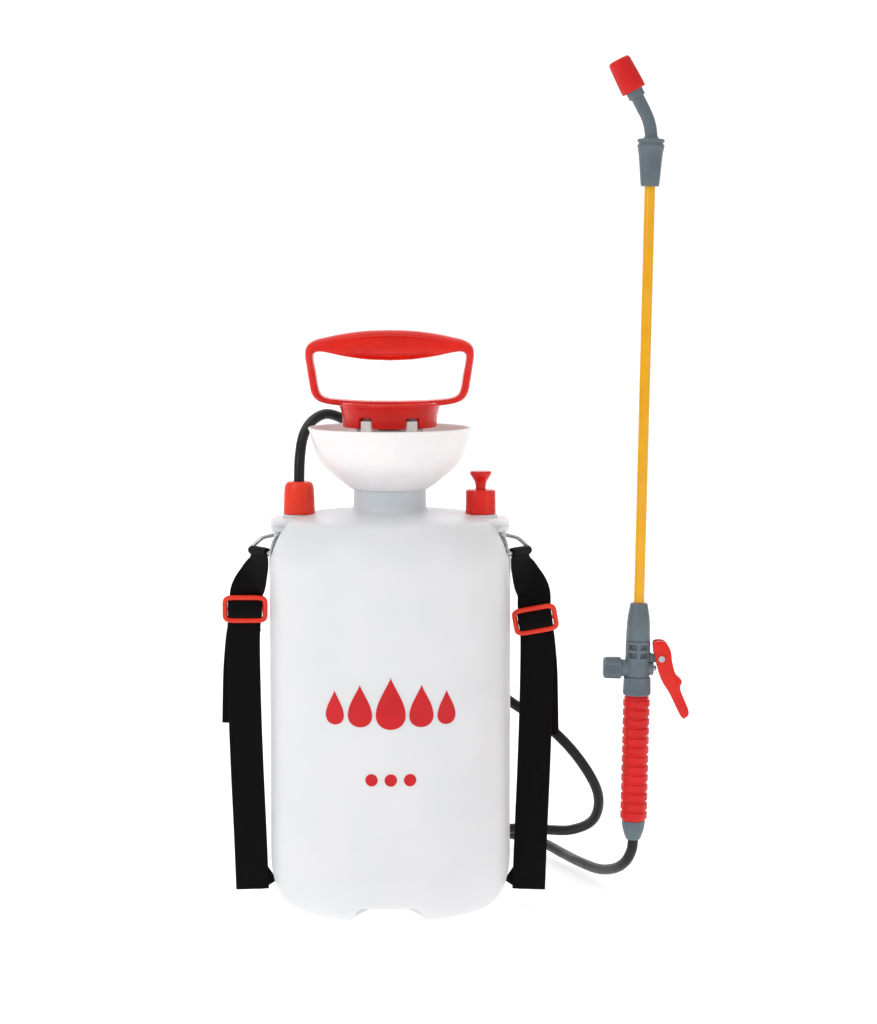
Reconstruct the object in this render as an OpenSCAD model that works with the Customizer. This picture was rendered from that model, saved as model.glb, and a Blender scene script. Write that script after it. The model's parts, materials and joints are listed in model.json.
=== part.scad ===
// Compression pump sprayer: a round plastic tank with a screw-in hand pump, a trigger wand on a hose,
// and two carrying straps. Origin on the tank's axis at the floor, +Z up, +X towards the wand, -Y to the front.

/* [Tank] */
// Outside diameter of the tank
tank_d = 181; // [180:0.5:183]
// Height at which the straight side ends
shoulder_h = 258; // [252:1:260]
// Wall of the tank
wall = 3; // [2.5:0.1:3.2]
// Outside diameter of the neck
neck_d = 54; // [53.6:0.1:55]
// Radius at which the base meets the floor
base_r = 76; // [64:1:78]
// Half width of the channel under the base, at the floor
channel_w = 30; // [20:1:32]
// Height of the channel under the base
channel_h = 12; // [8:1:13]
// How far the arches stay from the axis
channel_in = 34; // [20:1:50]

/* [Funnel] */
// Radius of the funnel's rim
funnel_r = 61; // [60:0.5:62]
// Wall of the funnel
funnel_wall = 2; // [1.6:0.1:2.2]

/* [Pump] */
// Outside diameter of the pump cylinder
cylinder_d = 42; // [40:0.5:42]
// Height of the cylinder's lower end
cylinder_foot = 62; // [50:1:90]
// Diameter of the piston rod
rod_d = 10; // [8:0.5:12]

/* [Handle] */
// Half width of the handle at its top
handle_w = 63; // [60:0.5:64]
// Height of the handle's crown
handle_top = 430.4; // [428:0.2:434]
// Depth of the handle, front to back
handle_depth = 22; // [18:1:26]

/* [Hose] */
// Outside diameter of the hose
hose_d = 8; // [7:0.1:8]

/* [Wand] */
// Lean of the wand towards +X, in degrees
lean = 1.05; // [0:0.05:1.2]
// Diameter of the lance tube
lance_d = 8; // [8:0.1:8]
// Height of the lance nut at the tip, along the wand
tip_nut_u = 492; // [470:1:500]
// Outside radius of the grip's rings
grip_r = 10; // [9.5:0.1:10.2]
// Number of rings on the grip
grip_rings = 13; // [8:1:13]
// Bend of the elbow, in degrees
elbow_bend = 28.5; // [20:0.5:40]

/* [Straps] */
// Width of the webbing
strap_w = 25; // [20:1:26]
// Thickness of the webbing
strap_t = 1.6; // [1.2:0.1:1.8]
// Diameter of the wire links
wire_d = 3; // [2.5:0.1:3]

/* [Hidden] */
$fn = 64;

red = "#D01A12";
orange_red = "#E0301E";
milk = "#E8E8EA";
warm_white = "#EFEBE6";
grey = "#66727A";
yellow = "#F0B000";
black = "#111111";
steel = "#C4C8CC";

fit = 0.05;               // radial clearance of a running fit
tank_r = tank_d / 2;
dome_h = 295;             // height of the lid where it meets the neck
lid_h = 290;              // height of the lid at its rim
neck_r = neck_d / 2;
neck_top = 312;           // shoulder of the neck, on which the funnel stands
spigot_top = 318;         // top of the neck's spigot, on which the gasket lies
mouth_r = 23;             // bore of the neck
port_x = 68;              // distance of the relief valve and the outlet from the axis
port_h = 292.5;           // top of the pads under the two ports
cylinder_r = cylinder_d / 2;
bore_r = cylinder_r - 2;  // bore of the pump cylinder
rod_r = rod_d / 2;
skirt_low = 358;
skirt_top = 377;
post_x = 84.5;            // post that a wire link hangs on
post_z = 276;
pocket_half = 22;         // half width of the pocket behind a wire link
wand_x = 184;
wand_z = 44.4;
valve_u = 131.4;          // height of the trigger valve's axis along the wand
pin_x = 17.5;
pin_u = 139.6;
lance_r = lance_d / 2;
elbow_u = tip_nut_u + 35;
elbow_r = 40;             // radius of the elbow's bend
hose_r = hose_d / 2;

// Route of the hose's middle: out of the gland, over the funnel's rim, down behind the tank, out to
// the right, round behind the tank on the floor, and back to the wand's nut.
HOSE = [
    [-68, 0, 304], [-68, 0, 318], [-67.5, 3, 335], [-65.5, 15, 350], [-60, 30, 360], [-50, 44, 365],
    [-38, 56, 361], [-26, 67, 351], [-15, 77, 336], [-7, 87, 316], [0, 94, 292], [5, 98, 264],
    [11, 99, 235], [22, 99, 207], [40, 96, 180], [64, 89, 160], [91, 80, 138], [122, 74, 118],
    [146, 74, 93], [162, 80, 64], [160, 93, 40], [143, 111, 27], [118, 126, 24], [90, 136, 22],
    [58, 138, 14], [26, 134, 6], [-6, 134, 4], [-32, 146, 4], [-45, 168, 4], [-40, 194, 4],
    [-18, 212, 4], [12, 217, 4], [42, 214, 4], [70, 203, 5], [96, 184, 7], [120, 156, 7],
    [138, 120, 5], [150, 86, 6], [162, 52, 9], [172, 25, 16], [179, 9, 25], [183, 2, 35],
    [184, 0, 43], [184.1, 0, 49.4]
];

// ---- helpers ----
function unit(v) = v / norm(v);
function arc(x, y, r, from, to, n = 8) =
    [for (i = [0:n]) let (a = from + (to - from) * i / n) [x + r * cos(a), y + r * sin(a)]];
function mix4(a, b, c, d, u) =
    0.5 * (2 * b + (c - a) * u + (2 * a - 5 * b + 4 * c - d) * u * u + (3 * b - a - 3 * c + d) * u * u * u);
function smooth(p, n) = [
    for (i = [0:len(p) - 2]) for (j = [0:n - 1])
        mix4(p[max(i - 1, 0)], p[i], p[i + 1], p[min(i + 2, len(p) - 1)], j / n),
    p[len(p) - 1]
];
function smooth_loop(p, n) = let (k = len(p)) [
    for (i = [0:k - 1]) for (j = [0:n - 1])
        mix4(p[(i + k - 1) % k], p[i], p[(i + 1) % k], p[(i + 2) % k], j / n)
];
function across(t, v) = unit(v - (v * t) * t);
function tangents(p) = [for (i = [0:len(p) - 1]) unit(p[min(i + 1, len(p) - 1)] - p[max(i - 1, 0)])];
function normals(t, v) = [
    for (i = 0, n = across(t[0], v); i < len(t); i = i + 1, n = i < len(t) ? across(t[i], n) : n) n
];
function rings(p, t, n, r, sides) = [
    for (i = [0:len(p) - 1]) for (k = [0:sides - 1])
        let (a = 360 * k / sides) p[i] + r * (cos(a) * n[i] + sin(a) * cross(t[i], n[i]))
];
function side_face(i, j, k, s) = [i * s + k, j * s + k, j * s + (k + 1) % s, i * s + (k + 1) % s];

// A round cord of radius r along the points p
module tube(p, r, sides = 12, start = [0, 1, 0]) {
    t = tangents(p);
    last = len(p) - 1;
    polyhedron(
        rings(p, t, normals(t, start), r, sides),
        concat(
            [for (i = [0:last - 1]) for (k = [0:sides - 1]) side_face(i, i + 1, k, sides)],
            [[for (k = [0:sides - 1]) k]],
            [[for (k = [0:sides - 1]) last * sides + sides - 1 - k]]
        )
    );
}

// A closed round wire of radius r along the loop of points p
module wire_loop(p, r, sides = 10) {
    k = len(p);
    middle = [for (c = [0:2]) [for (i = p) i[c]] * [for (i = p) 1] / k];
    t = [for (i = [0:k - 1]) unit(p[(i + 1) % k] - p[(i + k - 1) % k])];
    n = [for (i = [0:k - 1]) across(t[i], p[i] - middle)];
    polyhedron(
        rings(p, t, n, r, sides),
        [for (i = [0:k - 1]) for (s = [0:sides - 1]) side_face(i, (i + 1) % k, s, sides)]
    );
}

// A flat band; each point is [x, y, z, turn of its width about Z]
module ribbon(p, w, t) {
    last = len(p) - 1;
    corners = [[-1, -1], [1, -1], [1, 1], [-1, 1]];
    polyhedron(
        [for (q = p) for (c = corners)
            [q[0], q[1], q[2]] + c[0] * w / 2 * [cos(q[3]), sin(q[3]), 0]
                + c[1] * t / 2 * [-sin(q[3]), cos(q[3]), 0]],
        concat(
            [for (i = [0:last - 1]) for (k = [0:3])
                let (a = i * 4 + k, b = i * 4 + (k + 1) % 4) each [[b, b + 4, a + 4], [b, a + 4, a]]],
            [[3, 2, 1, 0]],
            [[last * 4, last * 4 + 1, last * 4 + 2, last * 4 + 3]]
        )
    );
}

// A coil spring of wire radius w, standing on z = 0
module coil(r, w, turns, h) {
    n = 14;
    tube([for (i = [0:turns * n]) let (a = 360 * i / n)
        [r * cos(a), r * sin(a), w + (h - 2 * w) * i / (turns * n)]], w, 6, [0, 0, 1]);
}

module pipe(r, bore, from, to) {
    translate([0, 0, from]) difference() {
        cylinder(r = r, h = to - from);
        translate([0, 0, -1]) cylinder(r = bore, h = to - from + 2);
    }
}

// A plain round bar or hole between two heights
module bar(r, from, to) {
    translate([0, 0, from]) cylinder(r = r, h = to - from);
}

module turned(points) {
    rotate_extrude() polygon(points);
}

module box(low, high) {
    translate(low) cube(high - low);
}

module both_sides() {
    children();
    mirror([1, 0, 0]) children();
}

// Draws in the wand's own frame: Z runs up the wand from the hose nut's lower end
module on_wand() {
    translate([wand_x, 0, wand_z]) rotate([0, lean, 0]) children();
}

// Draws along the trigger valve's axis: Z of the children runs along the wand's +X
module on_valve() {
    on_wand() translate([0, 0, valve_u]) rotate([0, 90, 0]) children();
}

// Draws along the nozzle's axis, from the end of the elbow's bend
module on_nozzle() {
    on_wand() translate([-elbow_r * (1 - cos(elbow_bend)), 0, elbow_u + elbow_r * sin(elbow_bend)])
        rotate([0, -elbow_bend, 0]) children();
}

// ---- tank ----
corner_h = 35;            // height of the rounded bottom corner

function tank_side(inset) = concat(
    [for (i = [0:8]) let (a = -90 + 90 * i / 8)
        [base_r + (tank_r - base_r - inset) * cos(a), corner_h + (corner_h - inset) * sin(a)]],
    [[tank_r - inset, shoulder_h], [tank_r - 0.6 - inset, shoulder_h + 7], [tank_r - 2.5 - inset, 272],
     [tank_r - 5.5 - inset, 279], [tank_r - 9 - inset, 285 - inset * 0.6], [tank_r - 13 - inset, lid_h - 1 - inset],
     [60, 292.2 - inset], [40, 294.4 - inset]]
);

// The arch between the feet, at the front and at the back; the middle of the base stays flat
module channel(grow) {
    for (turn = [0, 180]) rotate([0, 0, turn]) translate([0, grow - channel_in, 0]) rotate([90, 0, 0])
        linear_extrude(110) polygon([
            [-channel_w - grow, -1], [11 - channel_w - grow, channel_h + grow], [channel_w - 11 + grow, channel_h + grow],
            [channel_w + grow, -1]
        ]);
}

module tank() {
    color(milk) difference() {
        union() {
            turned(concat([[0, 0]], tank_side(0), [[neck_r, dome_h], [neck_r, neck_top], [neck_r - 1, neck_top],
                [neck_r - 1, spigot_top], [0, spigot_top]]));
            both_sides() {
                translate([port_x, 0, 284]) cylinder(r = 12.5, h = port_h - 284);
                intersection() {
                    bar(tank_r - 1, 260, lid_h);
                    box([62, -21, 281], [95, 21, lid_h + 1]);
                }
            }
            translate([-port_x, 0, 285]) cylinder(r = 9.7, h = 14);
            translate([port_x, 0, 285]) cylinder(r = 9.7, h = 10);
        }
        difference() {
            turned(concat([[0, wall]], tank_side(wall), [[mouth_r, dome_h - wall], [mouth_r, 300], [0, 300]]));
            channel(wall);
            both_sides() {
                box([73, -pocket_half - wall, 258], [95, pocket_half + wall, 292]);
                translate([port_x, 0, 280]) cylinder(r = 12, h = 12);
            }
        }
        bar(mouth_r, 280, spigot_top + 1);
        channel(0);
        both_sides() difference() {
            box([77, -pocket_half, 264], [95, pocket_half, 281]);
            translate([post_x, 0, 260]) cylinder(r = 2.8, h = 25);
        }
        translate([-port_x, 0, 270]) cylinder(r = 6, h = 40);
        translate([port_x, 0, 270]) cylinder(r = 3, h = 40);
    }
}

// ---- funnel ----
function bowl(inset) = [
    [40.5 - inset, 321 + inset], [49.5 - inset, 328.6 + inset * 0.7], [54.5 - inset, 335.4], [58.5 - inset, 348.2]
];

module funnel() {
    color(warm_white) turned(concat(
        [[neck_r - 1, neck_top], [28.8, neck_top]], bowl(0), [[funnel_r, skirt_low], [funnel_r - funnel_wall, skirt_low]],
        [for (i = [3:-1:0]) bowl(funnel_wall)[i]], [[neck_r - 1, neck_top + 2.2]]
    ));
}

// ---- pump ----
module neck_gasket() {
    color(black) pipe(27.5, mouth_r, spigot_top, spigot_top + 2);
}

module pump_collar() {
    sleeve = mouth_r - fit;
    color("white") difference() {
        union() {
            bar(sleeve, 298, spigot_top + 3);
            bar(27.5, spigot_top + 2, spigot_top + 6);
            bar(25, spigot_top + 5, 357);
            for (a = [-30, 30, 150, 210]) rotate([0, 0, a]) box([-4.5, -34.4, 350], [4.5, -20, 364]);
        }
        bar(cylinder_r + 0.1, 290, 340);
        bar(cylinder_r + 0.5, 323, 345);
        bar(9, 340, 370);
    }
}

module rod_guide() {
    color(grey) pipe(9, rod_r + fit, 345, 357);
}

module pump_cylinder() {
    color(milk) difference() {
        bar(cylinder_r, cylinder_foot, 343);
        bar(bore_r, cylinder_foot + 4, 344);
        bar(3 + fit, cylinder_foot - 1, cylinder_foot + 5);
        for (a = [0:60:300]) rotate([0, 0, a]) translate([8, 0, cylinder_foot - 1]) cylinder(r = 2, h = 6);
    }
}

module check_valve() {
    color(black) union() {
        bar(12, cylinder_foot - 3, cylinder_foot);
        bar(3, cylinder_foot - 1, cylinder_foot + 4);
        bar(4.5, cylinder_foot + 4, cylinder_foot + 6);
    }
}

module piston_rod() {
    color(steel) bar(rod_r, cylinder_foot + 18, skirt_top - 5);
}

module piston() {
    foot = cylinder_foot + 18;
    color(warm_white) difference() {
        bar(bore_r - 0.4, foot, foot + 15);
        bar(rod_r, foot - 1, foot + 16);
        pipe(bore_r + 1, bore_r - 3, foot + 5, foot + 10);
    }
}

module piston_ring() {
    foot = cylinder_foot + 23;
    color(black) pipe(bore_r - fit, bore_r - 3, foot, foot + 5);
}

// ---- handle ----
crown = handle_top - 7.8;     // height of the crown's ends

function crown_z(x, rise, z) = z + rise * (1 - (x / 57) * (x / 57));
function half_outline() = concat(
    arc(54, 380, 5.5, -90, 0, 5), arc(handle_w - 10.5, crown - 10, 10.5, 0, 75, 8),
    [for (x = [48:-8:0]) [x, crown_z(x, 7.8, crown)]]
);
function half_opening() = concat(
    arc(49, 381, 4, -90, 0, 5), arc(53, 410.5, 4, 0, 90, 5),
    [for (x = [44:-8:4]) [x, crown_z(x, -6.7, 414.3)]]
);
function mirrored(p) = concat(p, [for (i = [len(p) - 1:-1:0]) [-p[i][0], p[i][1]]]);

module pump_handle() {
    color(red) union() {
        difference() {
            rotate([90, 0, 0]) linear_extrude(handle_depth, center = true) difference() {
                polygon(mirrored(half_outline()));
                polygon(mirrored(half_opening()));
            }
            bar(rod_r, 350, skirt_top - 5);
        }
        difference() {
            turned([[0, skirt_low + 4], [9, skirt_low + 4], [9, skirt_top - 4], [32, skirt_top - 4], [32, skirt_low],
                [35, skirt_low], [37.5, skirt_top - 2], [37, skirt_top], [0, skirt_top]]);
            bar(rod_r, 350, skirt_top - 5);
            for (a = [-30, 30, 150, 210]) rotate([0, 0, a]) box([-5.5, -40, 350], [5.5, -29, 366]);
        }
    }
}

// ---- relief valve ----
module relief_cap() {
    color(red) translate([port_x, 0, 0]) difference() {
        turned([[0, 292.8], [11.5, 292.8], [11.5, 308], [10, 311], [0, 311]]);
        bar(9.75, 290, 306);
        bar(3.8 + fit, 300, 312);
    }
}

module relief_knob() {
    color(red) translate([port_x, 0, 0]) union() {
        bar(5, 297, 299);
        turned([[0, 298], [3.8, 298], [3.8, 314.5], [5.5, 317], [8.15, 321.5], [8.15, 323.5], [6.8, 324.9], [0, 324.9]]);
    }
}

module relief_spring() {
    color(steel) translate([port_x, 0, 299]) coil(4.8, 0.5, 4, 7);
}

module relief_seal() {
    color(black) translate([port_x, 0, 0]) bar(5.5, 295, 297);
}

// ---- outlet ----
module outlet_fitting() {
    color(grey) translate([-port_x, 0, 0]) difference() {
        union() {
            bar(2.95, 285, 301);
            bar(9, 300, 302.5);
            bar(4, 302, 303.3);
        }
        bar(2, 280, 310);
    }
}

module outlet_gasket() {
    color(black) translate([-port_x, 0, 0]) pipe(9, 4.2, 299, 300);
}

module gland_nut() {
    color(orange_red) translate([-port_x, 0, 0]) difference() {
        turned([[0, 292.8], [12, 292.8], [12, 308], [11.5, 312], [10, 316], [8, 317.3], [0, 317.3]]);
        bar(9.75, 290, 304.5);
        bar(hose_r + 0.3, 300, 320);
    }
}

module dip_tube() {
    color(milk) translate([-port_x, 0, 0]) pipe(4, 3, 18, 299);
}

module dip_filter() {
    color(grey) translate([-port_x, 0, 0]) difference() {
        union() {
            bar(7, 10, 34);
            bar(5.5, 33, 44);
        }
        bar(5.5, 12, 32);
        bar(4 + fit, 18, 50);
        for (a = [0:45:135], z = [14:6:26]) rotate([0, 0, a]) box([-9, -1, z], [9, 1, z + 3]);
    }
}

module hose() {
    color(black) tube(smooth(HOSE, 2), hose_r, 12);
}

// ---- wand ----
module hose_nut() {
    color(grey) on_wand() difference() {
        turned([[0, 0], [5, 0], [6.6, 4], [8.3, 9], [8.75, 15], [0, 15]]);
        bar(hose_r + 0.35, -1, 6);
        bar(6.05, 5, 16);
    }
}

module grip() {
    pitch = 93 / grip_rings;
    color(red) on_wand() difference() {
        union() {
            bar(6, 5.8, 16);
            turned(concat(
                [[0, 15], [grip_r - 1, 15]],
                [for (i = [0:grip_rings - 1]) for (q = [[0.6, -1.5], [1.4, 0], [4.9, 0], [5.7, -1.5]])
                    [grip_r + q[1], 16 + i * pitch + q[0]]],
                [[grip_r - 1, 111], [0, 111]]
            ));
        }
        bar(2.5, 0, 20);
        bar(6.5, 17, 112);
    }
}

module grip_filter() {
    color(milk) on_wand() difference() {
        bar(6.3, 45, 105);
        bar(5.5, 47, 106);
        for (z = [52:9:97]) box([-8, -1.5, z], [8, 1.5, z + 4]);
    }
}

module grip_nut() {
    color(grey) on_wand() pipe(10.25, 7 + fit, 111, 125);
}

module valve_body() {
    color(grey) on_wand() difference() {
        union() {
            bar(7, 111, 126);
            bar(9.3, 125, 152.3);
            bar(6.9, 152, 166);
            translate([0, 0, valve_u]) rotate([0, 90, 0]) translate([0, 0, -14]) cylinder(r = 6.5, h = 14);
            translate([0, 0, valve_u]) rotate([0, 90, 0]) cylinder(r = 5.2, h = 12);
            box([6, -3, pin_u - 2.6], [pin_x, 3, pin_u + 5]);
            translate([pin_x, 3, pin_u]) rotate([90, 0, 0]) cylinder(r = 5, h = 6);
        }
        bar(3, 100, 160);
        bar(lance_r + fit, 158, 170);
        translate([-15, 0, valve_u]) rotate([0, 90, 0]) cylinder(r = 5, h = 22);
        translate([6, 0, valve_u]) rotate([0, 90, 0]) cylinder(r = 2.25, h = 10);
        translate([pin_x, 10, pin_u]) rotate([90, 0, 0]) cylinder(r = 1.5 + fit, h = 20);
    }
}

module trigger() {
    outline = [
        [11.6, 151.5], [16, 153], [20.8, 151.6], [24.4, 145.5], [25.8, 137], [28.6, 128], [33.3, 123],
        [32.4, 116.5], [39, 100.5], [37.2, 95.4], [33.4, 95.8], [25, 112], [17.9, 123.6], [13.9, 136.4],
        [12, 144]
    ];
    color(orange_red) on_wand() difference() {
        rotate([90, 0, 0]) linear_extrude(14, center = true) polygon(smooth_loop(outline, 3));
        box([5, -3.3, 134], [23, 3.3, 156]);
        translate([pin_x, 10, pin_u]) rotate([90, 0, 0]) cylinder(r = 1.5 + fit, h = 20);
    }
}

module trigger_pin() {
    color(steel) on_wand() translate([pin_x, 0, pin_u]) rotate([90, 0, 0]) union() {
        cylinder(r = 1.5, h = 17, center = true);
        both_ends() translate([0, 0, 7.4]) cylinder(r = 2.4, h = 1.1);
    }
}

module both_ends() {
    children();
    mirror([0, 0, 1]) children();
}

module valve_stem() {
    color(steel) on_valve() union() {
        bar(4.6, -7.5, -4.5);
        bar(2.2, -5, 13.6);
        turned([[0, 13.5], [2.2, 13.5], [1.4, 14.2], [0, 14.2]]);
    }
}

module valve_spring() {
    color(steel) on_valve() translate([0, 0, -14.5]) coil(3.6, 0.4, 4, 7);
}

module stem_seal() {
    color(black) on_valve() pipe(5, 2.25, 4, 7);
}

module side_cap() {
    color(grey) on_valve() difference() {
        turned([[0, -25.9], [7.3, -25.9], [8.3, -24.5], [8.3, -13.2], [7.6, -12.2], [0, -12.2]]);
        bar(6.55, -14.5, -11);
    }
}

module side_cap_seal() {
    color(black) on_valve() pipe(6.5, 5, -14.5, -14);
}

// ---- lance ----
module lance_nut_lower() {
    color(grey) on_wand() difference() {
        turned([[0, 152.3], [9.25, 152.3], [9.1, 160], [8.6, 170], [7.3, 177], [6.5, 181], [0, 181]]);
        bar(6.95, 150, 168.2);
        bar(lance_r + fit, 160, 182);
    }
}

module lance_seal_lower() {
    color(black) on_wand() pipe(6.9, lance_r + 0.02, 166, 168.2);
}

module lance_tube() {
    color(yellow) on_wand() pipe(lance_r, lance_r - 1, 158, elbow_u - 5);
}

module lance_nut_upper() {
    color(grey) on_wand() translate([0, 0, tip_nut_u]) difference() {
        turned([[0, 0], [6.85, 0], [7.2, 4], [8.6, 20], [10, 29], [10.2, 30.5], [9.2, 31], [9.2, 32.3],
            [10.2, 32.8], [10.2, 34], [9.4, 35], [0, 35]]);
        bar(lance_r + fit, -1, 17);
        bar(6 + fit, 16, 36);
    }
}

module lance_seal_upper() {
    color(black) on_wand() pipe(5.95, lance_r + 0.02, tip_nut_u + 16.2, tip_nut_u + 19);
}

// Middle line of the elbow's bend, with a straight stretch of length over at each end
function bend_path(over) = concat(
    [[0, 0, elbow_u - over]],
    [for (i = [0:8]) let (a = elbow_bend * i / 8) [-elbow_r * (1 - cos(a)), 0, elbow_u + elbow_r * sin(a)]],
    [[-elbow_r * (1 - cos(elbow_bend)) - over * sin(elbow_bend), 0,
      elbow_u + elbow_r * sin(elbow_bend) + over * cos(elbow_bend)]]
);

module elbow() {
    color(grey) difference() {
        union() {
            on_wand() {
                bar(6, elbow_u - 15, elbow_u);
                turned([[0, elbow_u - 0.5], [6, elbow_u - 0.5], [5.4, elbow_u + 1.2], [4.9, elbow_u + 2.5], [0, elbow_u + 2.5]]);
                tube(bend_path(1), 4.75, 16);
            }
            on_nozzle() {
                bar(4.9, 0.5, 16);
                bar(6.4, 12.5, 16);
                bar(6.5, 15.5, 34);
            }
        }
        on_wand() {
            bar(lance_r + fit, elbow_u - 16, elbow_u - 5);
            bar(2.5, elbow_u - 16, elbow_u - 2);
            tube(bend_path(3), 2.4, 8);
        }
        on_nozzle() {
            bar(2.5, 2, 20);
            bar(3 + fit, 19, 35);
            pipe(8, 5.6, 24, 26);
        }
    }
}

module nozzle_core() {
    color("goldenrod") on_nozzle() difference() {
        turned([[0, 20], [3, 20], [3, 35], [2.4, 35], [1.2, 38], [0, 38]]);
        bar(0.8, 19, 34);
    }
}

module nozzle_seal() {
    color(black) on_nozzle() pipe(6.5, 5.6, 24, 26);
}

module nozzle_cap() {
    color(red) on_nozzle() difference() {
        turned([[0, 18], [9.3, 18], [9.5, 20], [9.1, 30], [8.6, 42.5], [7.4, 43.7], [0, 43.7]]);
        bar(6.5 + fit, 17, 36);
        bar(4, 35, 41);
        bar(0.8, 40, 45);
    }
}

// ---- straps, all drawn for the right side ----
link_turn = -37;              // swing of the wire link about its post
link_reach = 16;              // from the post to the link's outer bar
link_drop = 10.5;             // outer bar below the link's inner end
sleeve_w = 19;                // webbing's width where it gathers round the link's bar

module on_link() {
    translate([post_x, 0, post_z]) rotate([0, 0, link_turn]) children();
}

module strap_ring() {
    half = [[-4.6, 1.4, 0], [-3.3, 3.9, 0], [1, 5.4, 0], [8, 8.6, -2], [13, 12.6, -7.5], [link_reach, 13.4, -link_drop]];
    color(steel) on_link() wire_loop(concat(
        half, [[link_reach, 5, -link_drop], [link_reach, -5, -link_drop]],
        [for (i = [len(half) - 1:-1:0]) [half[i][0], -half[i][1], half[i][2]]]
    ), wire_d / 2);
}

module strap(tail_low) {
    color(black) union() {
        ribbon([[97.3, -9.6, 262.9, 53], [98.3, -8.4, 255, 48], [102.6, -4.4, 245, 30], [107.9, -0.1, 233.5, 1.5],
            [108.5, 0, 221, 0], [110.5, 0, 200, 0], [110, 0, 150, 0], [108.5, 0, 100, 0], [106.5, 0, 50, 0],
            [105, 0, 6, 0]], strap_w, strap_t);
        ribbon([[109.6, 0.6, 206, 0], [112.5, 3, 195, 0], [114, 4, 170, 0], [115, 4.5, tail_low, 0]],
            strap_w, strap_t);
        translate([0, 2.2, 0]) rotate([90, 0, 0]) linear_extrude(strap_t)
            polygon([[95, 6], [97.5, 22], [92.6, 26.5], [90.3, 20], [90, 9]]);
        on_link() translate([link_reach, 0, -link_drop]) rotate([90, 0, 0]) difference() {
            cylinder(r = wire_d / 2 + 2, h = sleeve_w, center = true);
            cylinder(r = wire_d / 2 + 0.4, h = sleeve_w + 2, center = true);
        }
    }
}

// Three-bar slider, in front of the webbing, with its two sides outside the webbing's edges
module slider(x, z, turn) {
    side = 17;
    color(orange_red) translate([x, 0, z]) rotate([0, turn, 0]) difference() {
        box([-side, -5, -10.5], [side, 2, 10.5]);
        box([-side + 2.9, -1.2, -11], [side - 2.9, 3, 11]);
        for (s = [-1, 1]) box([-side + 4, -6, s * 4 - 2], [side - 4, 0, s * 4 + 2]);
    }
}

tank();
funnel();
pump_collar();
pump_cylinder();
rod_guide();
neck_gasket();
check_valve();
piston_rod();
piston();
piston_ring();
pump_handle();
relief_cap();
relief_knob();
relief_spring();
relief_seal();
outlet_fitting();
gland_nut();
outlet_gasket();
dip_tube();
dip_filter();
hose();
hose_nut();
grip();
grip_filter();
grip_nut();
valve_body();
trigger();
trigger_pin();
valve_stem();
valve_spring();
stem_seal();
side_cap();
side_cap_seal();
lance_nut_lower();
lance_seal_lower();
lance_tube();
lance_nut_upper();
lance_seal_upper();
elbow();
nozzle_core();
nozzle_seal();
nozzle_cap();
mirror([1, 0, 0]) strap(133);  // strap_left
strap(124);  // strap_right
mirror([1, 0, 0]) slider(109, 221, 0);  // slider_left
slider(109.2, 213, -10);  // slider_right
mirror([1, 0, 0]) strap_ring();  // strap_ring_left
strap_ring();  // strap_ring_right
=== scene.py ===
# %% [markdown]
# # A pump sprayer, dressed round its working frame
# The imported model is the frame: it says where each part is and which body it moves with. This file
# gives the sprayer its looks. Lengths below are in millimetres until a mesh is made.

# %% Load the frame
import bmesh
import bpy
import json
import numpy as np
from mathutils import Matrix, Vector


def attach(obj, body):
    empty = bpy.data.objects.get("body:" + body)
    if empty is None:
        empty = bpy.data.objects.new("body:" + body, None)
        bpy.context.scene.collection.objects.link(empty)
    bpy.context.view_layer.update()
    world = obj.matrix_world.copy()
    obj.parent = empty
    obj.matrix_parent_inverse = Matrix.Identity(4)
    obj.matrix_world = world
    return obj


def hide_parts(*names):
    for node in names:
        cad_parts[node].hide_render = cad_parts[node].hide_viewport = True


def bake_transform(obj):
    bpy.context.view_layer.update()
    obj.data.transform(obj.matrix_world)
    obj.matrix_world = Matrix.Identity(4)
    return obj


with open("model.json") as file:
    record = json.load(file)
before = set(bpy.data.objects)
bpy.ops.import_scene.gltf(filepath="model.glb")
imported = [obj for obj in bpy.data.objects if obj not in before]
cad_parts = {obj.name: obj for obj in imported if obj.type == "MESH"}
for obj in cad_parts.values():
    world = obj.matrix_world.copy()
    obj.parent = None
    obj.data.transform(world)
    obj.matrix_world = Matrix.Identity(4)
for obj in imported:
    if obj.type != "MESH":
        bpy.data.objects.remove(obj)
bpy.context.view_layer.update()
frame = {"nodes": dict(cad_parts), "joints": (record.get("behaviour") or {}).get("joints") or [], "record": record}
nodes = frame["nodes"]
joints = {j["name"]: j for j in frame["joints"]}
MM = 0.001

# %% [markdown]
# ## Shapes from whole arrays
# A shape is a grid of points worked out by a formula. `skin` joins the grid's points with quads,
# closes its ends, merges the points that meet at a pole, and turns every face outwards.

# %% Helpers that make meshes
def unit(v):
    """v over its own length, along the last axis."""
    return v / np.linalg.norm(v, axis=-1, keepdims=True)


def grid_faces(rows, cols, wrap_rows, wrap_cols):
    """Quads over a grid of rows by cols points; a wrapped way joins its last line to its first."""
    i = np.arange(rows if wrap_rows else rows - 1)
    j = np.arange(cols if wrap_cols else cols - 1)
    i, j = np.meshgrid(i, j, indexing="ij")
    a, b = (i + 1) % rows, (j + 1) % cols
    return np.stack([i * cols + j, i * cols + b, a * cols + b, a * cols + j], -1).reshape(-1, 4)


def finish_mesh(mesh, crease):
    """Merges doubles, fills open ends, turns faces outwards, and shades smooth up to crease degrees."""
    bm = bmesh.new()
    bm.from_mesh(mesh)
    bmesh.ops.remove_doubles(bm, verts=bm.verts, dist=3e-6)
    bmesh.ops.holes_fill(bm, edges=[e for e in bm.edges if e.is_boundary], sides=0)
    bmesh.ops.recalc_face_normals(bm, faces=bm.faces)
    bm.to_mesh(mesh)
    bm.free()
    mesh.shade_smooth()
    mesh.set_sharp_from_angle(angle=np.radians(crease))


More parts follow.
